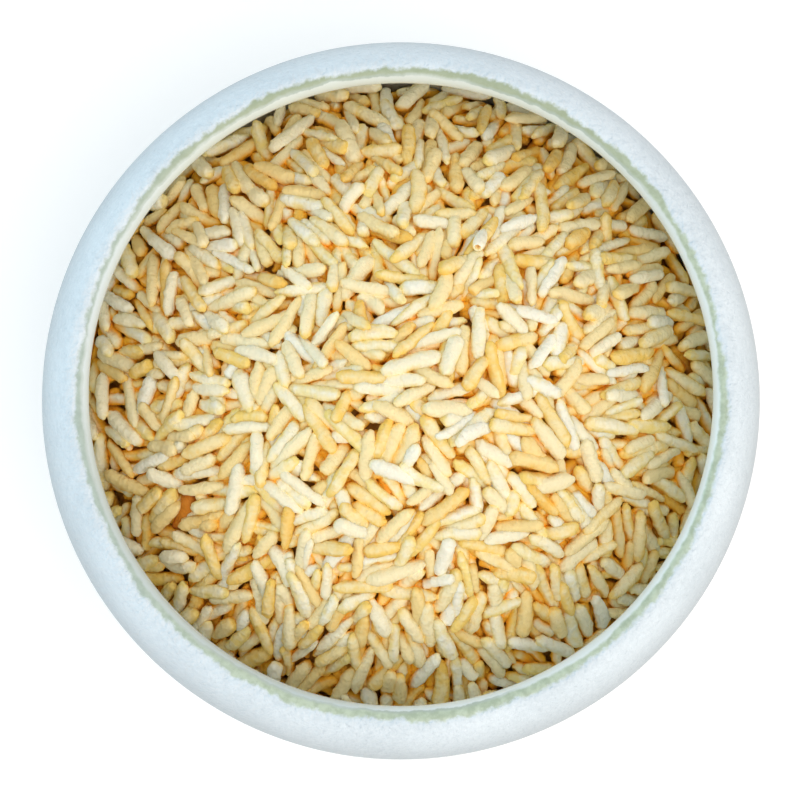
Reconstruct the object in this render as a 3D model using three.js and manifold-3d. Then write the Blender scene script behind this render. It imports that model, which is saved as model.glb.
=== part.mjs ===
// A round ceramic bowl with an in-curved rim, filled with a domed heap of puffed rice.
// Millimetres, Z up, the bowl standing on the plane Z = 0 with its axis on the Z axis.
import * as THREE from "three";
import { mergeVertices } from "three/addons/utils/BufferGeometryUtils.js";
import Module from "manifold-3d";

const wasm = await Module();
wasm.setup();

// Bowl
const BELLY_RADIUS = 60; // widest ring, outside
const BELLY_HEIGHT = 36; // height of the widest ring
const MOUTH_RADIUS = 50.2; // narrowest ring of the opening, inside the rim
const WALL = 4.2; // thickness of the wall from belly to rim
const SHOULDER_RADIUS = 36.3; // radius of the outside arc between belly and rim
const BASE_HEIGHT = 3; // underside of the base, inside the foot ring
const FLOOR_HEIGHT = 8; // floor of the inside
const FOOT_OUTSIDE = 32; // foot ring
const FOOT_INSIDE = 27;
const FOOT_TAPER = 0.6; // how much each side of the foot ring leans in towards its flat
const BOWL_SIDES = 48;

// Heap of puffed rice
const GAP = 0.35; // clearance between rice and bowl
const CORE_SIDES = 24;
const CORE_TOP = 55.2; // height of the core in the middle
const CORE_EDGE = 33.5; // height of the core where it meets the wall, a little below the belly
const GRAIN_LENGTH = 8.4; // a well-puffed grain
const GRAIN_WIDTH = 2.9;
const GRAIN_SIDES = 5;
const GRAIN_COUNT = 264;
const GRAIN_SPREAD = 0.16; // share by which lengths and widths vary
const TURNS_TRIED = 14; // directions tried for each grain
const SEED = 20261127;

// A repeatable stream of numbers from 0 to 1
let state = SEED;
function random() {
  state = (state + 0x6d2b79f5) >>> 0;
  let word = Math.imul(state ^ (state >>> 15), state | 1);
  word ^= word + Math.imul(word ^ (word >>> 7), word | 61);
  return ((word ^ (word >>> 14)) >>> 0) / 4294967296;
}

function between(low, high) {
  return low + (high - low) * random();
}

// The shoulder, the lower wall and their insides all turn about this ring
const ringRadius = BELLY_RADIUS - SHOULDER_RADIUS;
const insideRadius = SHOULDER_RADIUS - WALL;
const middleRadius = SHOULDER_RADIUS - WALL / 2;
const rimAngle = Math.acos((MOUTH_RADIUS + WALL / 2 - ringRadius) / middleRadius);

// Points of an elliptical arc in the half plane of radius and height
function arc(centre, radii, from, to, steps) {
  const curve = new THREE.EllipseCurve(centre.x, centre.y, radii.x, radii.y, from, to, from > to);
  return curve.getPoints(steps);
}

const point = (radius, height) => new THREE.Vector2(radius, height);

// Angle on the lower outside arc at which it reaches a given radius
function lowerAngle(radius) {
  return -Math.acos((radius - ringRadius) / SHOULDER_RADIUS);
}

function bowlProfile() {
  const ring = point(ringRadius, BELLY_HEIGHT);
  const lowerOutside = point(SHOULDER_RADIUS, BELLY_HEIGHT - BASE_HEIGHT);
  const lowerInside = point(insideRadius, BELLY_HEIGHT - FLOOR_HEIGHT);
  const rimCentre = point(
    ringRadius + middleRadius * Math.cos(rimAngle),
    BELLY_HEIGHT + middleRadius * Math.sin(rimAngle)
  );
  const underside = [
    point(0, BASE_HEIGHT),
    point(FOOT_INSIDE, BASE_HEIGHT),
    point(FOOT_INSIDE + FOOT_TAPER, 0),
    point(FOOT_OUTSIDE - FOOT_TAPER, 0)
  ];
  const lower = arc(ring, lowerOutside, lowerAngle(FOOT_OUTSIDE), 0, 6);
  const shoulder = arc(ring, point(SHOULDER_RADIUS, SHOULDER_RADIUS), 0, rimAngle, 4);
  const rim = arc(rimCentre, point(WALL / 2, WALL / 2), rimAngle, rimAngle + Math.PI, 6);
  const throat = arc(ring, point(insideRadius, insideRadius), rimAngle, 0, 3);
  const hollow = arc(ring, lowerInside, 0, -Math.PI / 2, 6);
  return [
    ...underside,
    ...lower,
    ...shoulder.slice(1),
    ...rim.slice(1),
    ...throat.slice(1),
    ...hollow.slice(1),
    point(0, FLOOR_HEIGHT)
  ];
}

// Radius of the inside wall of the bowl at a height: a circle's arc above the belly, an ellipse's below it
function throatRadius(height) {
  const rise = height - BELLY_HEIGHT;
  const share = Math.min(Math.abs(rise) / (rise > 0 ? insideRadius : BELLY_HEIGHT - FLOOR_HEIGHT), 1);
  return ringRadius + insideRadius * Math.sqrt(1 - share ** 2);
}

// The core's side follows the hollow of the bowl up to its edge
const coreRadii = new THREE.Vector2(insideRadius - GAP - 0.2, BELLY_HEIGHT - FLOOR_HEIGHT - GAP);
const edgeAngle = Math.asin((CORE_EDGE - BELLY_HEIGHT) / coreRadii.y);
const coreRadius = ringRadius + coreRadii.x * Math.cos(edgeAngle);

// Height of the top of the core at a distance from the axis
function domeHeight(radius) {
  return CORE_TOP - (CORE_TOP - CORE_EDGE) * (radius / coreRadius) ** 2;
}

// The body of the heap under its top grains: the hollow of the bowl less the gap, with a domed top
function coreProfile() {
  const ring = point(ringRadius, BELLY_HEIGHT);
  const side = arc(ring, coreRadii, -Math.PI / 2, edgeAngle, 5);
  const dome = Array.from({ length: 3 }, (_, step) => {
    const radius = coreRadius * (1 - (step + 1) / 4);
    return point(radius, domeHeight(radius));
  });
  return [point(0, FLOOR_HEIGHT + GAP), ...side, ...dome, point(0, CORE_TOP)];
}

function turned(profile, sides) {
  const geometry = new THREE.LatheGeometry(profile, sides);
  geometry.rotateX(Math.PI / 2);
  return geometry;
}

// A geometry with its shared corners joined and its collapsed triangles left out
function welded(geometry) {
  const bare = geometry.clone();
  bare.deleteAttribute("normal");
  bare.deleteAttribute("uv");
  const joined = mergeVertices(bare, 1e-4);
  const kept = [];
  for (let i = 0; i < joined.index.count; i += 3) {
    const [a, b, c] = [0, 1, 2].map((corner) => joined.index.getX(i + corner));
    if (a !== b && b !== c && c !== a) kept.push(a, b, c);
  }
  joined.setIndex(kept);
  return joined;
}

function solid(geometry) {
  const shape = welded(geometry);
  return new wasm.Manifold(
    new wasm.Mesh({
      numProp: 3,
      vertProperties: new Float32Array(shape.attributes.position.array),
      triVerts: new Uint32Array(shape.index.array)
    })
  );
}

function surface(manifold) {
  const mesh = manifold.getMesh();
  const geometry = new THREE.BufferGeometry();
  geometry.setAttribute("position", new THREE.BufferAttribute(mesh.vertProperties, 3));
  geometry.setIndex(new THREE.BufferAttribute(mesh.triVerts, 1));
  geometry.computeVertexNormals();
  return geometry;
}

// One puffed grain along Z: a spindle with two full rings and blunt points
function grainShape(length, width) {
  const half = length / 2;
  const profile = [
    point(0, -half),
    point(width / 2, -half * 0.56),
    point(width / 2, half * 0.56),
    point(0, half)
  ];
  return turned(profile, GRAIN_SIDES);
}

// The line along the middle of a grain that lies on the dome, pointing along a bearing
function grainAxis(radius, angle, bearing, length, lift) {
  const middle = new THREE.Vector3(radius * Math.cos(angle), radius * Math.sin(angle), 0);
  middle.z = domeHeight(radius) + lift;
  const slope = (-2 * (CORE_TOP - CORE_EDGE) * radius) / coreRadius ** 2;
  const along = new THREE.Vector3(Math.cos(bearing), Math.sin(bearing), 0);
  along.z = slope * Math.cos(bearing - angle) + between(-0.12, 0.12);
  along.setLength(length / 2);
  return new THREE.Line3(middle.clone().sub(along), middle.clone().add(along));
}

// Room left between the ends of a grain and the inside of the bowl
function wallRoom(axis, width) {
  const ends = [axis.start, axis.end];
  const rooms = ends.map((end) => throatRadius(end.z + width / 2) - Math.hypot(end.x, end.y));
  return Math.min(...rooms) - GAP - width / 2.5;
}

// Grains spread evenly over the dome from the middle outwards, each turned to lie clear of those before it
function grainSet() {
  const placed = [];
  const goldenAngle = Math.PI * (3 - Math.sqrt(5));
  const reach = coreRadius - 0.6;
  for (let i = 0; i < GRAIN_COUNT; i += 1) {
    const radius = reach * Math.sqrt((i + 0.5) / GRAIN_COUNT);
    const angle = i * goldenAngle;
    const length = GRAIN_LENGTH * between(1 - GRAIN_SPREAD, 1 + GRAIN_SPREAD);
    const width = GRAIN_WIDTH * between(1 - GRAIN_SPREAD, 1 + GRAIN_SPREAD);
    const lift = width * between(0.05, 0.35);
    let best = null;
    for (let turn = 0; turn < TURNS_TRIED; turn += 1) {
      const axis = grainAxis(radius, angle, between(0, Math.PI), length, lift);
      if (wallRoom(axis, width) < 0) continue;
      const gaps = placed.map((other) => Math.sqrt(axis.distanceSqToLine3(other.axis)));
      const nearest = Math.min(GRAIN_WIDTH * 1.6, ...gaps);
      if (best === null || nearest > best.nearest) best = { axis, width, length, nearest };
    }
    if (best !== null) placed.push(best);
  }
  return placed;
}

function grainSolid({ axis, width, length }) {
  const geometry = grainShape(length, width);
  const middle = axis.getCenter(new THREE.Vector3());
  const direction = axis.delta(new THREE.Vector3()).normalize();
  const turn = new THREE.Quaternion().setFromUnitVectors(new THREE.Vector3(0, 0, 1), direction);
  geometry.applyQuaternion(turn);
  geometry.translate(middle.x, middle.y, middle.z);
  return solid(geometry);
}

// The grains joined to the core, without the scraps and sealed hollows that joining leaves
function heap() {
  const core = solid(turned(coreProfile(), CORE_SIDES));
  const joined = grainSet().reduce((sum, grain) => sum.add(grainSolid(grain)), core);
  const bodies = joined.decompose();
  bodies.sort((a, b) => b.volume() - a.volume());
  return surface(bodies[0]);
}

function part(name, geometry, color, roughness) {
  const material = new THREE.MeshStandardMaterial({ color, roughness, metalness: 0 });
  const mesh = new THREE.Mesh(geometry, material);
  mesh.name = name;
  return mesh;
}

const bowlOfRice = new THREE.Group();
bowlOfRice.name = "bowl_of_puffed_rice";
bowlOfRice.add(part("bowl", welded(turned(bowlProfile(), BOWL_SIDES)), 0xe4edf0, 0.45));
bowlOfRice.add(part("puffed_rice", heap(), 0xecd29a, 0.8));

export default bowlOfRice;
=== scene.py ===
# %% [markdown]
# # A bowl of puffed rice
# The object is a round stoneware bowl, pulled in at the rim, with a domed heap of puffed rice in it.
# The part's own solids are loaded first. They fix the size and the place of everything that follows,
# and each piece made below stands in for one of them. Shapes are worked out in millimetres.

import bpy
import numpy as np
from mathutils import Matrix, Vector


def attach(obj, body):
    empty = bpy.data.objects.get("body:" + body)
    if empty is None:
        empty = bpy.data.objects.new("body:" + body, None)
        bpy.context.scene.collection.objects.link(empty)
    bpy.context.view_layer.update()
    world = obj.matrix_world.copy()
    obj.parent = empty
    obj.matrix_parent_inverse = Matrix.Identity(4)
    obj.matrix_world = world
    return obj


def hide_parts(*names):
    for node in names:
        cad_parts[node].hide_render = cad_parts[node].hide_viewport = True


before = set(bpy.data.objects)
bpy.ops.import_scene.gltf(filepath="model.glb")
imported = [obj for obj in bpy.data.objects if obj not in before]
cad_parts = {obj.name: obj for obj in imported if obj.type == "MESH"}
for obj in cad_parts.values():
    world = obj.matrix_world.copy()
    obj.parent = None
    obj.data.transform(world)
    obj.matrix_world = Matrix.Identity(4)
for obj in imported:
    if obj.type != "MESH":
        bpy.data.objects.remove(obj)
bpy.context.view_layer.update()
MM = 0.001
SEED = 31
chance = np.random.default_rng(SEED)

# %% [markdown]
# ## Outline of the bowl
# A thrown bowl is an outline turned about an axis. Blender can do that with the Screw modifier on a
# drawn curve. Here the outline is worked out instead, as arcs that share one centre, because the glaze
# further on needs to know how far each point lies from the rim, measured along the wall.

# %% Outline of the bowl
BELLY_RADIUS, BELLY_HEIGHT = 60.0, 36.0
MOUTH_RADIUS, WALL, SHOULDER = 50.2, 4.2, 36.3
BASE_HEIGHT, FLOOR_HEIGHT = 3.0, 8.0
FOOT_OUTSIDE, FOOT_INSIDE, FOOT_LEAN, FOOT_ROUND = 32.0, 27.0, 0.6, 0.5
ring_radius = BELLY_RADIUS - SHOULDER
inside, middle = SHOULDER - WALL, SHOULDER - WALL / 2
rim_angle = np.arccos((MOUTH_RADIUS + WALL / 2 - ring_radius) / middle)
rim_centre = ring_radius + middle * np.cos(rim_angle), BELLY_HEIGHT + middle * np.sin(rim_angle)


def arc(centre, radii, start, stop, count):
    """An ellipse's arc: the centre plus the radii times cosine and sine of an angle from start to stop."""
    angle = np.linspace(start, stop, count)
    return np.column_stack((centre[0] + radii[0] * np.cos(angle), centre[1] + radii[1] * np.sin(angle)))


def foot_corner(radius, start):
    """A quarter circle that rounds an edge of the foot ring where it meets the table."""
    return arc((radius, FOOT_ROUND), (FOOT_ROUND, FOOT_ROUND), start, start + np.pi / 2, count=5)


ring = (ring_radius, BELLY_HEIGHT)
foot_angle = -np.arccos((FOOT_OUTSIDE - ring_radius) / SHOULDER)
lower = arc(ring, (SHOULDER, BELLY_HEIGHT - BASE_HEIGHT), foot_angle, 0, count=34)
shoulder = arc(ring, (SHOULDER, SHOULDER), 0, rim_angle, count=26)
rim = arc(rim_centre, (WALL / 2, WALL / 2), rim_angle, rim_angle + np.pi, count=46)
throat = arc(ring, (inside, inside), rim_angle, 0, count=18)
hollow = arc(ring, (inside, BELLY_HEIGHT - FLOOR_HEIGHT), 0, -np.pi / 2, count=16)
under = np.array([(0, BASE_HEIGHT), (FOOT_INSIDE / 2, BASE_HEIGHT), (FOOT_INSIDE, BASE_HEIGHT)])
foot = np.vstack((foot_corner(FOOT_INSIDE + FOOT_LEAN + FOOT_ROUND, np.pi),
                  foot_corner(FOOT_OUTSIDE - FOOT_LEAN - FOOT_ROUND, -np.pi / 2)))
outline = np.vstack((under, foot, lower, shoulder[1:], rim[1:], throat[1:], hollow[1:], [(0, FLOOR_HEIGHT)]))
print("outline points", len(outline), "rim top at", round(outline[:, 1].max(), 2), "mm")

# %% [markdown]
# ## Distance along the wall
# Glaze runs and stops along the wall, not along X, Y or Z. So each outline point gets its distance from
# the narrowest ring of the mouth: positive over the rim and down the outside, negative into the bowl.
# The lines where the glazes end are wavy: each is a sum of cosines round the rim. A slow one stands for a
# bowl that was dipped a little askew, one with two waves makes the line slightly oval, and many short ones
# of random phase, weaker the shorter they are, fray it.

# %% Distance along the wall and the wavy edges of the glazes
steps = np.hypot(*np.diff(outline, axis=0).T)
travelled = np.concatenate(([0], np.cumsum(steps)))
mouth = len(under) + len(foot) + len(lower) + len(shoulder) - 1 + np.argmin(rim[1:, 0])
wall_way = travelled[mouth] - travelled
BOWL_SIDES = 576
turn = np.arange(BOWL_SIDES) * 2 * np.pi / BOWL_SIDES
SHORT_WAVES = np.arange(5, 150)
FADE_FROM, FADE_POWER = 6, 0.85


def wavy_edge(middle, swing, toward, oval, fringe):
    """Distance of an edge from the mouth, for each angle a round the rim:
    middle + swing cos(a - toward) + oval cos 2a + fringe times a sum of short cosines."""
    strength = chance.normal(0, 1, len(SHORT_WAVES)) / (FADE_FROM + SHORT_WAVES) ** FADE_POWER
    phase = chance.uniform(0, 2 * np.pi, len(SHORT_WAVES))
    short = (strength * np.cos(turn[:, None] * SHORT_WAVES + phase)).sum(1)
    slow = swing * np.cos(turn - np.radians(toward)) + oval * np.cos(2 * turn)
    return middle + slow + fringe * short / short.std()


lip_end = wavy_edge(middle=1.85, swing=0.10, toward=150, oval=-0.10, fringe=0.10)
glaze_stop = wavy_edge(middle=3.28, swing=0.12, toward=-60, oval=-0.22, fringe=0.20)
print("green band from", lip_end.mean().round(2), "to", glaze_stop.mean().round(2), "mm from the mouth")

# %% [markdown]
# ## Meshes from arrays
# Blender takes a mesh as a list of points and a list of faces that name their corners by number. For a
# turned shape both come from one grid with a row of points for each point of the outline. Marks, such as
# the distance from the rim, ride on the points as attributes, and materials read them there.

# %% Mesh helpers
def smooth_step(value, low, high):
    """0 below low, 1 above high, and a smooth rise of 3t^2 - 2t^3 between them."""
    t = np.clip((value - low) / (high - low), 0, 1)
    return t * t * (3 - 2 * t)


def put_mesh(name, points, faces, material, **marks):
    """Makes an object at the origin from points in millimetres and arrays of faces.
    Marks are put on its points under their names."""
    mesh = bpy.data.meshes.new(name)
    mesh.from_pydata(points * MM, [], [face for part in faces for face in part.tolist()])
    for label, values in marks.items():
        kind, field = ("FLOAT", "value") if values.ndim == 1 else ("FLOAT_VECTOR", "vector")
        attribute = mesh.attributes.new(label, kind, "POINT")
        attribute.data.foreach_set(field, values.astype(np.float32).ravel())
    mesh.shade_smooth()
    mesh.materials.append(material)
    piece = bpy.data.objects.new(name, mesh)
    bpy.context.scene.collection.objects.link(piece)
    return piece


def with_poles(grid):
    """The rows of a turned grid in one list. The first and the last row are poles, of one entry each."""
    return np.concatenate((grid[:1, 0], grid[1:-1].reshape(-1, *grid.shape[2:]), grid[-1:, 0]))


def turned_faces(rings, sides):
    """Quads between neighbouring rings, and a fan of triangles from each pole to its ring.
    Point 0 is the first pole, the rings follow one by one, and the last point is the other pole."""
    around = np.arange(sides)
    after = (around + 1) % sides
    row = 1 + np.arange(rings - 1)[:, None] * sides
    quads = np.stack((row + around, row + after, row + after + sides, row + around + sides), -1)
    last = 1 + (rings - 1) * sides
    first_fan = np.stack((np.zeros(sides, int), 1 + after, 1 + around), -1)
    last_fan = np.stack((np.full(sides, last + sides), last + around, last + after), -1)
    return quads.reshape(-1, 4), np.vstack((first_fan, last_fan))


# %% [markdown]
# ## Glaze
# The bowl has two glazes. A glossy pale one lines the inside and comes over the lip, a frosted white one
# covers the outside, and on the crest between them a thin grey-green band shows. It could be painted on an
# image. Here two marks on the mesh say how far each point lies past the lip's edge and past the edge of the
# white glaze, noise frays both, and Map Range nodes turn the distances into masks. Object coordinates paint
# light and shade round the bowl: a painted highlight on the lip at the right, painted shade on it at the
# front left, painted warm light that yellows it at the back, painted cool light that turns the green bluer at
# the left, and painted shade that makes the green darker and yellower at the back. Painted shade also darkens
# the white towards the belly. Fine noise makes the relief of the frosted glaze.

# %% Node helpers
def start_material(name):
    """A new material, its node tree and its shader."""
    material = bpy.data.materials.new(name)
    material.use_nodes = True
    return material, material.node_tree, material.node_tree.nodes["Principled BSDF"]


def add(tree, kind, settings=None, **inputs):
    """A node of a kind, with its settings and with values or links for its inputs.
    An input goes by its name, or by i and its number where several have the same name."""
    node = tree.nodes.new(kind)
    for setting, value in (settings or {}).items():
        setattr(node, setting, value)
    for name, value in inputs.items():
        socket = node.inputs[int(name[1:])] if name[0] == "i" and name[1:].isdigit() else node.inputs[name]
        if isinstance(value, bpy.types.NodeSocket):
            tree.links.new(value, socket)
        else:
            socket.default_value = value
    return node


def mark(tree, name, output="Fac"):
    """The value that the mesh carries under a name."""
    return add(tree, "ShaderNodeAttribute", {"attribute_name": name}).outputs[output]


def noise(tree, where, scale, detail=2.0, roughness=0.5):
    """Soft random values from 0 to 1, with about scale lumps to each unit of the coordinates."""
    inputs = {"Vector": where, "Scale": scale, "Detail": detail, "Roughness": roughness}
    return add(tree, "ShaderNodeTexNoise", None, **inputs).outputs["Fac"]


def between(tree, value, low, high, out_low=0.0, out_high=1.0):
    """A smooth rise from out_low to out_high while the value goes from low to high."""
    inputs = {"Value": value, "From Min": low, "From Max": high, "To Min": out_low, "To Max": out_high}
    return add(tree, "ShaderNodeMapRange", {"interpolation_type": "SMOOTHSTEP"}, **inputs).outputs["Result"]


def blend(tree, share, first, second):
    """The first colour where the share is 0, and the second where it is 1."""
    return add(tree, "ShaderNodeMix", {"data_type": "RGBA"}, i0=share, i6=first, i7=second).outputs[2]


def sum_of(tree, value, factor, offset):
    """The value times the factor plus the offset, each a number or a link."""
    settings = {"operation": "MULTIPLY_ADD"}
    return add(tree, "ShaderNodeMath", settings, i0=value, i1=factor, i2=offset).outputs[0]


# %% Where each glaze lies
FRAY_SCALE, PATCH_SCALE, PATCH_EDGE = 1000, 28, (0.4, 0.6)
LIP_FRAY, STOP_FRAY = 0.6, 1.3
LINE_EDGE, BAND_EDGE, FROST_EDGE = (0.1, 0.4), (0.35, 0.95), (0.2, 1.0)
GLOSSY, FROSTED = 0.2, 0.5


def glaze_masks(tree, place):
    """Shares of the thin line, the green band and the white outside, and the roughness. Each rises smoothly
    with the distance past its edge plus noise times the fray. The line is broken up by patches."""
    fray = noise(tree, place, FRAY_SCALE, detail=3.0, roughness=0.55)
    past_lip = sum_of(tree, fray, LIP_FRAY, mark(tree, "past_lip"))
    past_stop = sum_of(tree, fray, STOP_FRAY, mark(tree, "past_stop"))
    patches = between(tree, noise(tree, place, PATCH_SCALE, detail=1.0), *PATCH_EDGE)
    line = sum_of(tree, between(tree, past_lip, *LINE_EDGE), patches, 0.0)
    band = between(tree, past_lip, *BAND_EDGE)
    frost = between(tree, past_stop, *FROST_EDGE)
    return line, band, frost, between(tree, past_stop, *FROST_EDGE, GLOSSY, FROSTED)


# %% Colours of the glazes
# Painted light and shade: the lip is brighter on the right, darker at the front left and yellower at the
# back, and the green is bluer on the left and darker and yellower at the back.
LIP, LIP_PAINTED_HIGHLIGHT = (0.65, 0.73, 0.75, 1), (0.75, 0.82, 0.825, 1)
LIP_PAINTED_SHADE, LIP_PAINTED_WARM_LIGHT = (0.53, 0.605, 0.61, 1), (0.68, 0.73, 0.66, 1)
GREENS = (0.38, 0.46, 0.345, 1), (0.51, 0.60, 0.475, 1)
GREEN_PAINTED_COOL_LIGHT, GREEN_PAINTED_SHADE = (0.33, 0.42, 0.44, 1), (0.32, 0.37, 0.24, 1)
# The darker white that the outside turns to towards the belly is painted shade.
WHITES, WHITE_PAINTED_SHADE = ((0.60, 0.685, 0.75, 1), (0.70, 0.785, 0.85, 1)), (0.42, 0.475, 0.51, 1)
LINE, CLAY = (0.42, 0.49, 0.43, 1), (0.50, 0.42, 0.33, 1)
BACK, LEFT = (0.015, 0.05, 0.0, 0.75), (-0.02, -0.05, 0.0, 0.5)
RIGHT, RIGHT_TURN, FRONT_LEFT = (0.01, 0.05), -0.5, (-0.048, -0.068)
FLECK_EDGE, FLECK_SHARE, MOTTLE_EDGE = (0.3, 0.7), 0.8, (0.6, 1.2)
# The second range, in mm past the stop line, is where painted shade darkens the white.
CLOUD_SCALE, PAINTED_SHADE_DOWN = 60, (0.5, 18.0)


def glaze_colours(tree, place, flecks):
    """Lip, green and white. Flecks mix two tints of the green and of the white. With the side of the bowl
    on which a point lies, lip and green go over to tints of painted light and shade. Painted shade darkens
    the white on its way down."""
    sides = add(tree, "ShaderNodeSeparateXYZ", None, Vector=place).outputs
    back = between(tree, sides["Y"], *BACK)
    left = between(tree, sides["X"], *LEFT)
    right = between(tree, sum_of(tree, sides["Y"], RIGHT_TURN, sides["X"]), *RIGHT)
    front_left = between(tree, sum_of(tree, sides["X"], 1.0, sides["Y"]), *FRONT_LEFT)
    # Painted highlight on the right, painted shade at the front left, painted warm light at the back.
    lip = blend(tree, right, LIP, LIP_PAINTED_HIGHLIGHT)
    lip = blend(tree, front_left, lip, LIP_PAINTED_SHADE)
    lip = blend(tree, back, lip, LIP_PAINTED_WARM_LIGHT)
    green = blend(tree, between(tree, flecks, *FLECK_EDGE), *GREENS)
    # Painted cool light on the left, painted shade at the back.
    green = blend(tree, left, green, GREEN_PAINTED_COOL_LIGHT)
    green = blend(tree, back, green, GREEN_PAINTED_SHADE)
    cloudy = sum_of(tree, flecks, FLECK_SHARE, noise(tree, place, CLOUD_SCALE))
    mottle = between(tree, cloudy, *MOTTLE_EDGE)
    # Painted shade: the white darkens on its way down.
    down = between(tree, mark(tree, "past_stop"), *PAINTED_SHADE_DOWN)
    return lip, green, blend(tree, down, blend(tree, mottle, *WHITES), WHITE_PAINTED_SHADE)


# %% Glaze of the bowl
FLECK_SCALE, GRIT_SCALES, GRIT_SHARE, GRIT_MEAN = 800, (1900, 700), 0.5, 0.75
BARE_BELOW, BARE_FRAY = (0.0012, 0.0016), 0.0006
FROST_DEPTH, FROST_STRENGTH = 0.0006, 0.9


def make_glaze():
    """Lip, line, green band, white outside and bare foot, laid over each other from the mouth outwards.
    The relief is noise about its mean, times the share of the frosted glaze."""
    material, tree, shader = start_material("two_glazes")
    place = add(tree, "ShaderNodeTexCoord").outputs["Object"]
    flecks = noise(tree, place, FLECK_SCALE, detail=3.0, roughness=0.6)
    line, band, frost, roughness = glaze_masks(tree, place)
    lip, green, white = glaze_colours(tree, place, flecks)
    crest = blend(tree, band, blend(tree, line, lip, LINE), green)
    glazed = blend(tree, frost, crest, white)
    height = add(tree, "ShaderNodeSeparateXYZ", None, Vector=place).outputs["Z"]
    above_foot = between(tree, sum_of(tree, flecks, BARE_FRAY, height), *BARE_BELOW)
    tree.links.new(blend(tree, above_foot, CLAY, glazed), shader.inputs["Base Color"])
    tree.links.new(roughness, shader.inputs["Roughness"])
    fine, coarse = (noise(tree, place, scale) for scale in GRIT_SCALES)
    grit = sum_of(tree, sum_of(tree, fine, GRIT_SHARE, coarse), 1.0, -GRIT_MEAN)
    raised = sum_of(tree, grit, frost, 0.0)
    relief = add(tree, "ShaderNodeBump", None, Height=raised, Distance=FROST_DEPTH, Strength=FROST_STRENGTH)
    tree.links.new(relief.outputs["Normal"], shader.inputs["Normal"])
    return material


# %% [markdown]
# ## Bowl
# Two arrays, the outline and the angles of the turn, make the whole surface at once: one row of points for
# each outline point. The outer glaze lies a tenth of a millimetre thick, so the surface is pushed out past
# the stop line. A single vertex closes each pole.

# %% Bowl
COAT, COAT_EDGE = 0.12, (-0.2, 0.5)
COAT_ABOVE = BASE_HEIGHT + 2


def make_bowl():
    """x, y = r cos a, r sin a for each outline point and angle a, with the height unchanged. Where the white
    glaze lies, radius and height are first pushed out along the outline's normal."""
    tangent = np.gradient(outline, axis=0)
    normal = np.column_stack((tangent[:, 1], -tangent[:, 0])) / np.hypot(*tangent.T)[:, None]
    past_stop = wall_way[:, None] - glaze_stop
    coated = (outline[:, 1] > COAT_ABOVE) & (wall_way > 0)
    coat = COAT * smooth_step(past_stop, *COAT_EDGE) * coated[:, None]
    radius = outline[:, :1] + coat * normal[:, :1]
    height = outline[:, 1:] + coat * normal[:, 1:]
    grid = np.stack((radius * np.cos(turn), radius * np.sin(turn), height), -1)
    faces = turned_faces(len(outline) - 2, BOWL_SIDES)
    marks = {"past_lip": with_poles(wall_way[:, None] - lip_end), "past_stop": with_poles(past_stop)}
    return put_mesh("glazed_bowl", with_poles(grid), faces, make_glaze(), **marks)


bowl = make_bowl()
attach(bowl, "root")
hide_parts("bowl")
print("bowl faces", len(bowl.data.polygons))

# %% [markdown]
# ## Piling up the grains
# Real grains fall in one by one and come to rest on those below. A rigid body simulation would do this,
# slowly. A height map does it fast: the heap's top is an array of heights. Each grain tries many places and
# directions at once, finds in each the lowest line on which it can rest, and takes the place that lies
# deepest under the dome that the heap should end as. Then its own back is added to the map. In the middle
# the grains nestle closely. Near the wall they lie loosely over a deeper bed, so that dark gaps open there.

# %% The dome and the empty bed under it
HEAP_TOP, HEAP_DROP, HEAP_RADIUS, HEAP_POWER = 57.6, 23.0, 54.2, 1.8
SWELL, SWELL_LENGTHS, SWELL_PHASE = 0.35, (8.3, 9.7), 1.1
RIPPLE, RIPPLE_LENGTH = 0.25, 6.1
BED_DEPTH, WALL_DEPTH, WALL_POWER = 4.1, 4.0, 12
CELL, REACH = 0.25, 56.0


def dome(x, y):
    """Height of the heap's smooth top: top - drop (r / R)^p, between a cone and a paraboloid, plus a faint
    swell and ripple of sines that fade towards the wall."""
    share = (np.hypot(x, y) / HEAP_RADIUS) ** HEAP_POWER
    swell = SWELL * np.sin(x / SWELL_LENGTHS[0] + SWELL_PHASE) * np.cos(y / SWELL_LENGTHS[1])
    ripple = RIPPLE * np.cos((x + y) / RIPPLE_LENGTH)
    return HEAP_TOP - HEAP_DROP * share + (swell + ripple) * np.clip(1 - share, 0, 1)


def bed_depth(out):
    """Depth of the bed under the dome: depth + extra (r / R)^12, so that it falls away near the wall only."""
    return BED_DEPTH + WALL_DEPTH * np.minimum(out / HEAP_RADIUS, 1) ** WALL_POWER


def wall_radius(height):
    """Inside radius of the bowl at a height: a circle's arc above the belly, an ellipse's below it."""
    rise = height - BELLY_HEIGHT
    share = np.clip(rise / np.where(rise > 0, inside, BELLY_HEIGHT - FLOOR_HEIGHT), -1, 1)
    return ring_radius + inside * np.sqrt(1 - share**2)


cells = np.arange(-REACH, REACH + CELL / 2, CELL)
across, along = np.meshgrid(cells, cells)
top_map = dome(across, along) - bed_depth(np.hypot(across, along))
print("height map", top_map.shape, "from", top_map.min().round(1), "to", top_map.max().round(1), "mm")

# %% How a grain rests
ALONG = np.linspace(-0.94, 0.94, 13)
ACROSS = np.array([-0.85, -0.45, 0, 0.45, 0.85])
PLAY = np.linspace(-0.35, 0.35, 15)
GIRTH_POWER = 4
NOWHERE = -1e3


def girth_at(share):
    """Radius of a grain at a share of its half length, against its greatest radius: (1 - |share|^4)^0.5."""
    return np.sqrt(np.clip(1 - np.abs(share) ** GIRTH_POWER, 0, 1))


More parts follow.
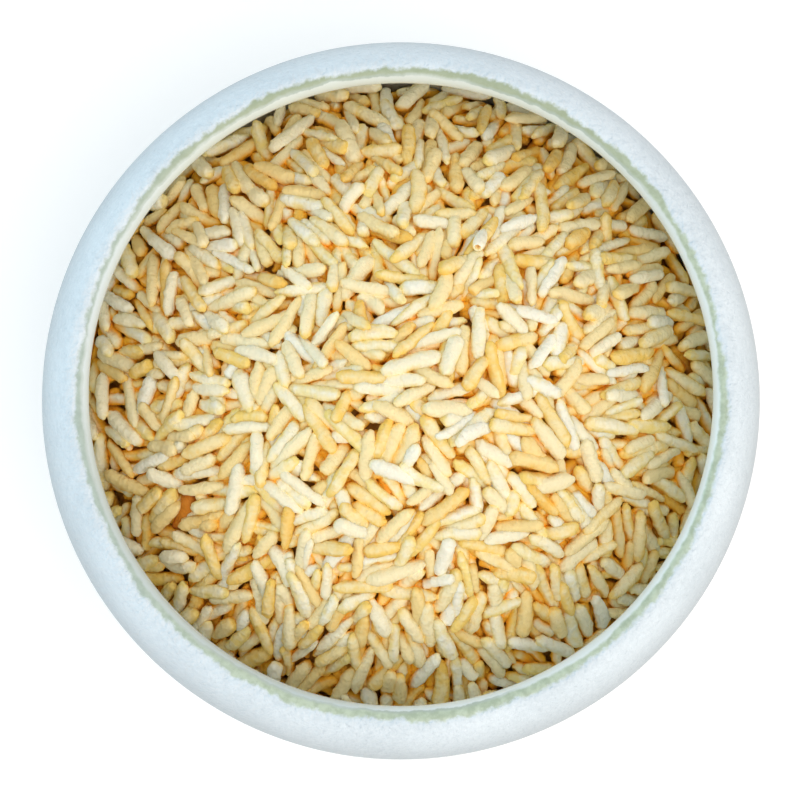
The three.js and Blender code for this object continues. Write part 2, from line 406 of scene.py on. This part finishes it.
def rest(x, y, yaw, half, radius, tilt):
    """Height and slope of the axis of a grain at rest, for many places at once.
    The axis is a line a + b s. Under each s the map asks for a height of map + sqrt(r^2 - t^2).
    Of the slopes b near the dome's own slope plus the grain's tilt, the one with the smallest a is taken."""
    out = np.hypot(x, y)
    steep = HEAP_POWER * HEAP_DROP * (out / HEAP_RADIUS) ** HEAP_POWER / out**2
    fall = tilt - steep * (x * np.cos(yaw) + y * np.sin(yaw))
    slopes = fall[:, None] + PLAY
    s = ALONG * half / np.sqrt(1 + fall[:, None] ** 2)
    r = girth_at(ALONG) * radius[:, None]
    t = ACROSS * r[:, :, None]
    cos, sin = np.cos(yaw)[:, None, None], np.sin(yaw)[:, None, None]
    px = x[:, None, None] + s[:, :, None] * cos - t * sin
    py = y[:, None, None] + s[:, :, None] * sin + t * cos
    column = np.clip(np.rint((px + REACH) / CELL).astype(int), 0, len(cells) - 1)
    row = np.clip(np.rint((py + REACH) / CELL).astype(int), 0, len(cells) - 1)
    needed = (top_map[row, column] + np.sqrt(r[:, :, None] ** 2 - t**2)).max(2)
    lifts = (needed[:, None, :] - slopes[:, :, None] * s[:, None, :]).max(2)
    return lifts.min(1), np.take_along_axis(slopes, lifts.argmin(1)[:, None], 1)[:, 0]


def add_back(x, y, yaw, half, radius, lift, slope):
    """Raises the map to the grain's upper side: a + b s + sqrt(r(s)^2 - t^2)."""
    rows = np.flatnonzero(np.abs(cells - y) < half + radius)
    columns = np.flatnonzero(np.abs(cells - x) < half + radius)
    dx, dy = np.meshgrid(cells[columns] - x, cells[rows] - y)
    s = dx * np.cos(yaw) + dy * np.sin(yaw)
    t = dy * np.cos(yaw) - dx * np.sin(yaw)
    inner = (girth_at(s * np.sqrt(1 + slope**2) / half) * radius) ** 2 - t**2
    back = np.where(inner > 0, lift + slope * s + np.sqrt(np.maximum(inner, 0)), NOWHERE)
    window = np.ix_(rows, columns)
    top_map[window] = np.maximum(top_map[window], back)


# %% Pile them up
TRIES, MOST_GRAINS, MOST_MISSES = 90, 2000, 60
HALF_LENGTHS, RADII, TILTS = (4.0, 0.6, 2.2, 5.2), (1.27, 0.13, 0.95, 1.6), (0, 0.4, -1.2, 1.2)
SNUG, LOOSE, LOOSE_POWER = 0.48, 0.92, 7
END_SHARE, WALL_GAP, PAST_EDGE, BLOCKED = 0.9, 0.2, 0.4, 1e3


def drawn(mean, spread, least, most):
    """A random value about the mean, by a bell curve of a spread, kept between least and most."""
    return np.clip(chance.normal(mean, spread), least, most)


def pile_up():
    """Drops grains until the best places found lie above the dome. Returns one row for each grain:
    x, y, height of the axis, direction, slope, half length, radius. Uneven grains nestle into each other, so
    they rest on a share of their radius. A place where an end would meet the wall is blocked."""
    placed, misses = [], 0
    while len(placed) < MOST_GRAINS and misses < MOST_MISSES:
        half, radius, tilt = drawn(*HALF_LENGTHS), drawn(*RADII), drawn(*TILTS)
        out = (HEAP_RADIUS + PAST_EDGE) * np.sqrt(chance.uniform(0, 1, TRIES))
        angle, yaw = chance.uniform(0, 2 * np.pi, (2, TRIES))
        x, y = out * np.cos(angle), out * np.sin(angle)
        support = radius * (SNUG + (LOOSE - SNUG) * (out / HEAP_RADIUS) ** LOOSE_POWER)
        lift, slope = rest(x, y, yaw, half, support, tilt)
        depth = lift - dome(x, y)
        for end in (-END_SHARE * half, END_SHARE * half):
            flat_end = end / np.sqrt(1 + slope**2)
            far = np.hypot(x + flat_end * np.cos(yaw), y + flat_end * np.sin(yaw))
            room = wall_radius(lift + slope * flat_end + 0.5 * radius) - WALL_GAP
            depth += BLOCKED * (far + 0.5 * radius > room)
        best = depth.argmin()
        if depth[best] > -0.5 * radius:
            misses += 1
            continue
        add_back(x[best], y[best], yaw[best], half, support[best], lift[best], slope[best])
        placed.append((x[best], y[best], lift[best], yaw[best], slope[best], half, radius))
    return np.array(placed)


grains = pile_up()
print("grains", len(grains), "top of the heap at", top_map.max().round(1), "mm")

# %% [markdown]
# ## How deep a point lies
# The gaps between the grains glow amber, because light that comes out of them has passed through several
# skins. A renderer could find that by following light through every grain, slowly. The height map already
# knows enough: blurred, it is a smooth cover over the heap, and the depth of a point under that cover becomes
# a mark on the mesh, which the skin's material reads.

# %% How deep a point lies under the top grains
COVER_SPREAD, RIM_SHADE, RIM_POWER = 2.2, 0.2, 4


def smoothed(heights, spread):
    """Heights blurred by a bell curve: a wave of k radians a mm is damped by exp(-(k spread)^2 / 2)."""
    k = 2 * np.pi * np.fft.fftfreq(len(heights), CELL)
    damping = np.exp(-0.5 * spread**2 * (k[:, None] ** 2 + k**2))
    return np.fft.ifft2(np.fft.fft2(heights) * damping).real


cover = smoothed(top_map, COVER_SPREAD)


def buried(points):
    """Depth of points under the smoothed top of the heap, below zero for points that stand out of it.
    Near the rim, which shades the grains too, a little is added."""
    places = np.rint((points[..., :2].reshape(-1, 2) + REACH) / CELL).astype(int)
    column, row = np.clip(places, 0, len(cells) - 1).T
    under_rim = (np.hypot(points[..., 0], points[..., 1]) / HEAP_RADIUS).ravel() ** RIM_POWER
    return cover[row, column] - points[..., 2].ravel() + RIM_SHADE * under_rim


print("cover over the heap from", cover.min().round(1), "to", cover.max().round(1), "mm")

# %% [markdown]
# ## Shape of one grain
# A puffed grain is a blunt spindle, a little bent and lumpy, with fine wrinkles across it. It could be
# sculpted once and copied, but then all would be alike. Its cage has seven rings of six points and two tips,
# few enough to repeat a thousand times, and one level of subdivision rounds it. Every grain gets its own
# length, width, taper, bend and lumps. All cages are computed at once, as one array of grains, rings and
# points.

# %% Cages of all grains
RINGS = np.array([-0.97, -0.78, -0.42, 0.0, 0.42, 0.78, 0.97])
GRAIN_SIDES, ROUNDING, TIP_REACH = 6, 1.13, 1.04
BLUNTNESS, FLATNESS = (4.5, 11.0), (0.82, 1.0)
TAPER, RING_LUMPS, POINT_LUMPS, BEND, DRIFT = 0.09, 0.05, 0.06, 0.22, 0.06


def in_place(own, poses):
    """Carries points from each grain's own frame, where it lies along the third axis, to its place in the
    bowl: tilted by its slope, turned to its direction and moved."""
    x, y, z, yaw, slope = poses.T[:5, :, None]
    level = 1 / np.sqrt(1 + slope**2)
    reach = (own[..., 2] - own[..., 1] * slope) * level
    rise = (own[..., 2] * slope + own[..., 1]) * level
    return np.stack((x + reach * np.cos(yaw) - own[..., 0] * np.sin(yaw),
                     y + reach * np.sin(yaw) + own[..., 0] * np.cos(yaw), z + rise), -1)


def grain_shapes(poses):
    """Points of every cage in the grain's own frame. A ring sits at its share of the half length. Its radius
    is (1 - |share|^p)^0.5, more or less blunt with p, times lumps. A bend moves the ring aside by
    1 - share^2, and a roll turns the grain about its axis."""
    count = len(poses)
    half, radius = poses.T[5:, :, None, None]
    power = chance.uniform(*BLUNTNESS, (count, 1, 1))
    taper = chance.normal(0, TAPER, (count, 1, 1))
    lumps = chance.normal(1, RING_LUMPS, (count, len(RINGS), 1))
    lumps = lumps * chance.normal(1, POINT_LUMPS, (count, len(RINGS), GRAIN_SIDES))
    share = RINGS[:, None] + 0 * lumps
    spindle = np.sqrt(np.clip(1 - np.abs(share) ** power, 0, 1)) * (1 + taper * share)
    wide = spindle * lumps * radius * ROUNDING
    angle = 2 * np.pi * np.arange(GRAIN_SIDES) / GRAIN_SIDES
    flat = chance.uniform(*FLATNESS, (count, 1, 1))
    bend = chance.normal(0, BEND, (count, 1, 1)) * radius
    drift = chance.normal(0, DRIFT, (count, len(RINGS), 1)) * radius
    side = wide * np.cos(angle) + bend * (1 - share**2) + drift
    rise = wide * np.sin(angle) * flat
    roll = chance.uniform(0, 2 * np.pi, (count, 1, 1))
    turned = (side * np.cos(roll) - rise * np.sin(roll), side * np.sin(roll) + rise * np.cos(roll))
    rings = np.stack((*turned, share * half), -1).reshape(count, -1, 3)
    tips = np.stack((0 * half, 0 * half, half * TIP_REACH), -1).reshape(count, 1, 3)
    return np.concatenate((-tips, rings, tips), 1)


own_frames = grain_shapes(grains)
cages = in_place(own_frames, grains)
cage_faces = turned_faces(len(RINGS), GRAIN_SIDES)
print("cage", cages.shape[1], "points", sum(map(len, cage_faces)), "faces, for", len(cages), "grains")

# %% [markdown]
# ## Skin of the grains
# Puffed rice is pale where it swelled most and golden where it touched the hot pan. Each kind of grain has a
# pale and a deep colour. Noise in the grain's own frame, moved by the grain's own tone, mixes the two, so
# that patches follow the grain and not the room. Painted shade turns the underside and the sides deeper than
# the back, and the troughs of the wrinkles deeper than their ridges. Further down in the heap a painted amber
# stands for light that has passed through several grains, and painted shade turns the bottom of wide gaps
# brown. Noise squeezed along the axis gives the wrinkles across it, and finer noise the pores. A little light
# passes under the skin, which softens its shading.

# %% Material of one kind of grain
# Amber and brown are painted: amber for light that has passed through several grains, brown for shade deep in
# the gaps.
AMBER_PAINTED_GLOW, BROWN_PAINTED_SHADE = (0.97, 0.52, 0.035, 1), (0.50, 0.24, 0.035, 1)
AMBER_DEPTH, BROWN_DEPTH = (-1.0, 0.4), (0.3, 2.2)
SQUEEZE, PORE_SCALE, BLOTCH_SCALE = (0.55, 0.55, 1.2), 1.9, 0.42
# The wrinkle and underside tints are painted shade.
WRINKLE_PAINTED_SHADE, UNDERSIDE_PAINTED_SHADE, TINT_EDGE = -0.6, 0.6, (0.05, 0.8)
PORE_SHARE, SKIN_RELIEF = 0.4, 0.00042
SKIN_LOOKS = {"Roughness": 0.6, "Specular IOR Level": 0.3, "Subsurface Weight": 0.6,
              "Subsurface Radius": (1.0, 0.7, 0.4), "Subsurface Scale": 0.0015}


def make_skin(name, pale, deep, low=AMBER_PAINTED_GLOW):
    """Pale and deep colour mixed in patches, with painted shade on the undersides and in the wrinkles,
    painted amber light and shade further down and painted brown shade at the bottom of wide gaps. Relief:
    wrinkles plus a share of the pores."""
    material, tree, shader = start_material(name)
    own = mark(tree, "own_frame", "Vector")
    squeezed = add(tree, "ShaderNodeMapping", None, Vector=own, Scale=SQUEEZE).outputs["Vector"]
    wrinkles = noise(tree, squeezed, 1.0)
    pores = noise(tree, own, PORE_SCALE)
    tint = sum_of(tree, noise(tree, own, BLOTCH_SCALE), 1.0, mark(tree, "tone"))
    # Painted shade: the troughs of the wrinkles turn deeper, their ridges paler.
    tint = sum_of(tree, wrinkles, WRINKLE_PAINTED_SHADE, tint)
    # Painted shade: the underside of each grain turns deeper.
    tint = sum_of(tree, mark(tree, "underside"), UNDERSIDE_PAINTED_SHADE, tint)
    skin = blend(tree, between(tree, tint, *TINT_EDGE), pale, deep)
    # Painted light and shade: deeper in the heap the skin goes to amber.
    skin = blend(tree, between(tree, mark(tree, "buried"), *AMBER_DEPTH), skin, low)
    # Painted shade: at the bottom of wide gaps the skin goes to brown.
    skin = blend(tree, between(tree, mark(tree, "buried"), *BROWN_DEPTH), skin, BROWN_PAINTED_SHADE)
    tree.links.new(skin, shader.inputs["Base Color"])
    rough = sum_of(tree, pores, PORE_SHARE, wrinkles)
    relief = add(tree, "ShaderNodeBump", None, Height=rough, Distance=SKIN_RELIEF)
    tree.links.new(relief.outputs["Normal"], shader.inputs["Normal"])
    shader.subsurface_method = "BURLEY"
    for socket, value in SKIN_LOOKS.items():
        shader.inputs[socket].default_value = value
    return material


# %% [markdown]
# ## The kinds of grain
# Some grains came out almost white, some golden, and one is toasted brown. Each could be an object of its
# own or an instance, but a thousand objects are slow to handle, and an exported model loses its instances.
# So each kind is one joined mesh, with its cages behind each other in one array. A Displace modifier with a
# cloud texture then crumples every grain a little, in the mesh itself, so that their edges are uneven too.

# %% The kinds of grain
KINDS = {
    "white_grains": (0.13, (0.87, 0.845, 0.71, 1), (0.865, 0.73, 0.34, 1)),
    "cream_grains": (0.29, (0.88, 0.815, 0.60, 1), (0.865, 0.68, 0.23, 1)),
    "butter_grains": (0.28, (0.88, 0.775, 0.49, 1), (0.855, 0.61, 0.165, 1)),
    "straw_grains": (0.21, (0.88, 0.73, 0.395, 1), (0.855, 0.57, 0.125, 1)),
    "golden_grains": (0.09, (0.87, 0.67, 0.30, 1), (0.845, 0.515, 0.10, 1)),
    "toasted_grains": (0.0, (0.64, 0.21, 0.013, 1), (0.52, 0.14, 0.008, 1)),
}
TONES, FAR_APART = (0.15, 0.85), 400
TOASTED_SPOT, TOASTED_DEPTH, DEPTH_WEIGHT = (-36.9, -20.7), 0.6, 2
shares = np.array([kind[0] for kind in KINDS.values()])
kind_of = chance.choice(len(KINDS), len(grains), p=shares / shares.sum())
tones = chance.uniform(*TONES, len(grains))
off_spot = np.hypot(*(grains[:, :2] - TOASTED_SPOT).T)
off_depth = np.abs(buried(grains[:, :3]) - TOASTED_DEPTH)
kind_of[(off_spot + DEPTH_WEIGHT * off_depth).argmin()] = list(KINDS).index("toasted_grains")
shifts = chance.uniform(-FAR_APART, FAR_APART, (len(grains), 1, 3))
print("kinds", dict(zip(KINDS, np.bincount(kind_of, minlength=len(KINDS)).tolist())))

# %% Joined meshes of the grains
CRUMPLE_SIZE, CRUMPLE_DEPTH = 0.9, 0.7
crumpled = bpy.data.textures.new("crumpled", "CLOUDS")
crumpled.noise_scale, crumpled.noise_depth = CRUMPLE_SIZE * MM, 1


def add_rounder(piece, levels):
    """A Subdivision Surface modifier, which rounds a cage."""
    rounder = piece.modifiers.new("rounder", "SUBSURF")
    rounder.levels = rounder.render_levels = levels


def make_grains(index, name, pale, deep, low):
    """Joins the cages of one kind into one mesh: the faces of one cage, moved on by its points for each."""
    own = np.flatnonzero(kind_of == index)
    per_cage = cages.shape[1]
    starts = np.arange(len(own))[:, None, None] * per_cage
    faces = [(part + starts).reshape(-1, part.shape[1]) for part in cage_faces]
    marks = {
        "own_frame": (own_frames[own] + shifts[own]).reshape(-1, 3),
        "tone": np.repeat(tones[own], per_cage),
        "buried": buried(cages[own]),
        "underside": (-own_frames[own, :, 1] / grains[own, 6:]).ravel(),
    }
    piece = put_mesh(name, cages[own].reshape(-1, 3), faces, make_skin(name, pale, deep, low), **marks)
    add_rounder(piece, levels=1)
    crumple = piece.modifiers.new("crumple", "DISPLACE")
    crumple.texture, crumple.texture_coords, crumple.strength = crumpled, "LOCAL", CRUMPLE_DEPTH * MM
    return piece


for index, (name, (_, pale, deep)) in enumerate(KINDS.items()):
    # All kinds but the toasted one take the painted amber deep in the heap.
    piece = make_grains(index, name, pale, deep, deep if name == "toasted_grains" else AMBER_PAINTED_GLOW)
    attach(piece, "root")
    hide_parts("puffed_rice")
    print(name, (kind_of == index).sum(), "grains,", len(piece.data.polygons), "cage faces")

# %% [markdown]
# ## A grain that burst open
# One plump white grain at the back of the dome has lost an end, and one sees into its hollow. A Boolean could
# cut it open. A turned shape is simpler: its outline runs from the closed tip over the broken edge and back
# into the grain. It is dropped on the heap like the others, with the open end up.

# %% Open grain
OPEN_OUTSIDE = [(-0.94, 0.30), (-0.72, 0.64), (-0.25, 0.93), (0.3, 1.02), (0.72, 0.92),
                (0.95, 0.68), (0.97, 0.5)]
OPEN_INSIDE = [(0.8, 0.4), (0.35, 0.34)]
OPEN_TIP, OPEN_FLOOR, OPEN_SIDES, OPEN_TONE = -1.0, 0.25, 10, 0.1
# Inside the hollow the depth mark gives the skin about a quarter of the painted amber shade; outside it,
# none.
SHOWN_DEPTH, HOLLOW_PAINTED_SHADE_DEPTH = -2.0, -0.55


def make_open_grain(x, y, yaw, half, radius, tilt):
    """Rings of points between two poles, each a circle of its own radius at share times half along
    the axis."""
    profile = np.array(OPEN_OUTSIDE + OPEN_INSIDE)
    angle = 2 * np.pi * np.arange(OPEN_SIDES) / OPEN_SIDES
    along = profile[:, :1] * half + 0 * angle
    wide = profile[:, 1:] * radius
    rings = np.stack((wide * np.cos(angle), wide * np.sin(angle), along), -1).reshape(-1, 3)
    own = np.vstack(([(0, 0, OPEN_TIP * half)], rings, [(0, 0, OPEN_FLOOR * half)]))
    lift, slope = rest(*np.array([[x], [y], [yaw]]), half, np.array([radius * SNUG]), np.array([tilt]))
    points = in_place(own[None], np.array([[x, y, lift[0], yaw, slope[0], half, radius]]))[0]
    in_hollow = np.arange(len(own)) > len(OPEN_OUTSIDE) * OPEN_SIDES
    marks = {"own_frame": own, "tone": np.full(len(own), OPEN_TONE), "underside": -own[:, 1] / radius,
             "buried": np.where(in_hollow, HOLLOW_PAINTED_SHADE_DEPTH, SHOWN_DEPTH)}
    skin = make_skin("open_grain", *KINDS["white_grains"][1:])
    piece = put_mesh("open_grain", points, turned_faces(len(profile), OPEN_SIDES), skin, **marks)
    add_rounder(piece, levels=2)
    return piece


open_grain = make_open_grain(x=13.0, y=25.2, yaw=np.radians(-109), half=2.8, radius=1.15, tilt=1.0)
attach(open_grain, "root")
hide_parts("puffed_rice")
print("open grain faces", len(open_grain.data.polygons))

# %% [markdown]
# ## Body of the heap
# Below the top grains there is only more rice that nobody sees. One closed core fills the bowl up to the bed
# on which the grains were piled. Its top carries grain-sized bumps in a deep brown that is painted shade, for
# the few gaps that reach down to it.

# %% Core under the grains
CORE_SIDES, BED_RINGS, SIDE_RINGS = 160, 44, 14
CORE_GAP, CORE_EDGE = 0.5, HEAP_RADIUS - 1.2
BUMP, BUMP_WAVES, BUMP_DRIFTS = 0.5, (1.3, 1.5), (0.9, 0.8)
# With a depth mark of 5 mm the core's skin is wholly the painted brown shade.
CORE_COLOURS, CORE_TONE, CORE_DEPTH = ((0.92, 0.70, 0.34, 1), (0.88, 0.55, 0.17, 1)), 0.6, 5.0


def make_core():
    """A turned outline: the hollow of the bowl less a gap, and the bed. Two crossed sine waves, each pushed
    aside by a slower one, make the bumps."""
    across = np.linspace(CORE_EDGE, 0, BED_RINGS)
    bed_height = HEAP_TOP - bed_depth(across) - HEAP_DROP * (across / HEAP_RADIUS) ** HEAP_POWER
    bed = np.column_stack((across, bed_height))
    deep = BELLY_HEIGHT - FLOOR_HEIGHT - CORE_GAP
    edge_angle = np.arcsin((bed[0, 1] - BELLY_HEIGHT) / deep)
    side = arc(ring, (inside - CORE_GAP, deep), -np.pi / 2, edge_angle, SIDE_RINGS)
    line = np.vstack(([(0, FLOOR_HEIGHT + CORE_GAP)], side, bed))
    angle = np.arange(CORE_SIDES) * 2 * np.pi / CORE_SIDES
    x, y = line[:, :1] * np.cos(angle), line[:, :1] * np.sin(angle)
    one_way = np.sin(x * BUMP_WAVES[0] + np.sin(y * BUMP_DRIFTS[0]))
    other_way = np.sin(y * BUMP_WAVES[1] + np.cos(x * BUMP_DRIFTS[1]))
    on_bed = np.arange(len(line)) > len(side) + 1
    points = with_poles(np.stack((x, y, line[:, 1:] + BUMP * one_way * other_way * on_bed[:, None]), -1))
    marks = {"own_frame": points, "tone": np.full(len(points), CORE_TONE),
             "buried": np.full(len(points), CORE_DEPTH), "underside": np.zeros(len(points))}
    skin = make_skin("deep_rice_painted_shade", *CORE_COLOURS)
    return put_mesh("heap_core", points, turned_faces(len(line) - 2, CORE_SIDES), skin, **marks)


core = make_core()
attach(core, "root")
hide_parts("puffed_rice")
print("core faces", len(core.data.polygons))

# %% [markdown]
# ## Floor and light
# A plain white floor and soft light keep the looks on the object. The sky is brighter and warmer to the right
# and the front, and cooler opposite. A broad lamp from the right front adds soft shadows, so that the rim
# shades the rice on that side, and a cool one from the left tints the outside there.

# %% Floor
FLOOR_HALF, FLOOR_GREY, FLOOR_GLOW = 1000.0, 0.93, 0.17


def make_floor():
    """A flat white square of two metres that glows a little, so that it stays white."""
    material, _, shader = start_material("white_floor")
    shader.inputs["Base Color"].default_value = (FLOOR_GREY, FLOOR_GREY, FLOOR_GREY, 1)
    shader.inputs["Roughness"].default_value = 0.9
    shader.inputs["Emission Color"].default_value = (1, 1, 1, 1)
    shader.inputs["Emission Strength"].default_value = FLOOR_GLOW
    corners = np.array([(-1, -1, 0), (1, -1, 0), (1, 1, 0), (-1, 1, 0)]) * FLOOR_HALF
    return put_mesh("floor", corners, [np.arange(4)[None]], material)


make_floor()
print("floor", 2 * FLOOR_HALF * MM, "m wide")

# %% Light
SKY_COOL, SKY_WARM, BRIGHT_SIDE = (0.565, 0.645, 0.72, 1), (1.22, 1.15, 1.075, 1), (0.78, -0.56, 0.28)


def add_light(name, azimuth, elevation, distance, size, power, colour):
    """A square lamp that faces the bowl from an azimuth, counted from +X towards +Y, and an elevation."""
    a, e = np.radians((azimuth, elevation))
    toward = Vector((np.cos(a) * np.cos(e), np.sin(a) * np.cos(e), np.sin(e)))
    lamp = bpy.data.lights.new(name, "AREA")
    lamp.size, lamp.energy, lamp.color = size, power, colour
    holder = bpy.data.objects.new(name, lamp)
    holder.location = Vector((0, 0, BELLY_HEIGHT * MM)) + toward * distance
    holder.rotation_euler = toward.to_track_quat("Z", "Y").to_euler()
    bpy.context.scene.collection.objects.link(holder)


def make_sky():
    """A sky whose colour goes from cool to warm with the cosine of the angle to its bright side."""
    sky = bpy.data.worlds.new("sky")
    sky.use_nodes = True
    tree = sky.node_tree
    way = add(tree, "ShaderNodeTexCoord").outputs["Generated"]
    facing = add(tree, "ShaderNodeVectorMath", {"operation": "DOT_PRODUCT"}, i0=way, i1=BRIGHT_SIDE)
    colour = blend(tree, between(tree, facing.outputs["Value"], -1.0, 1.0), SKY_COOL, SKY_WARM)
    tree.links.new(colour, tree.nodes["Background"].inputs["Color"])
    return sky


add_light("main_light", azimuth=-50, elevation=52, distance=1.0, size=0.9, power=2.3,
          colour=(1.0, 0.96, 0.90))
add_light("cool_fill", azimuth=155, elevation=18, distance=1.2, size=0.9, power=3.4,
          colour=(0.42, 0.85, 1.0))
bpy.context.scene.world = make_sky()
bpy.context.scene.view_settings.view_transform = "Standard"
bpy.context.scene.cycles.diffuse_bounces = 6
print("lamps", sorted(lamp.name for lamp in bpy.data.lights))

# %% [markdown]
# ## Camera
# The mouth of the bowl sits a few pixels off the middle of its outline, so the camera leans a little from
# straight down. The distance sets how much larger the rim looks than the belly below it, and the lens then
# fills the frame. Both follow from the two circles that the bowl shows.

# %% Camera
ELEVATION, CAMERA_AWAY, LENS, SENSOR = np.radians(86.2), 0.400, 107.82, 36
AIM = Vector((-0.15, -0.35, BELLY_HEIGHT + 4)) * MM
camera = bpy.data.objects.new("camera", bpy.data.cameras.new("camera"))
toward_camera = Vector((0, -np.cos(ELEVATION), np.sin(ELEVATION)))
camera.location = AIM + toward_camera * CAMERA_AWAY
camera.rotation_euler = toward_camera.to_track_quat("Z", "Y").to_euler()
camera.data.lens, camera.data.sensor_width = LENS, SENSOR
bpy.context.scene.collection.objects.link(camera)
bpy.context.scene.camera = camera
print("camera at", [round(v, 3) for v in camera.location])
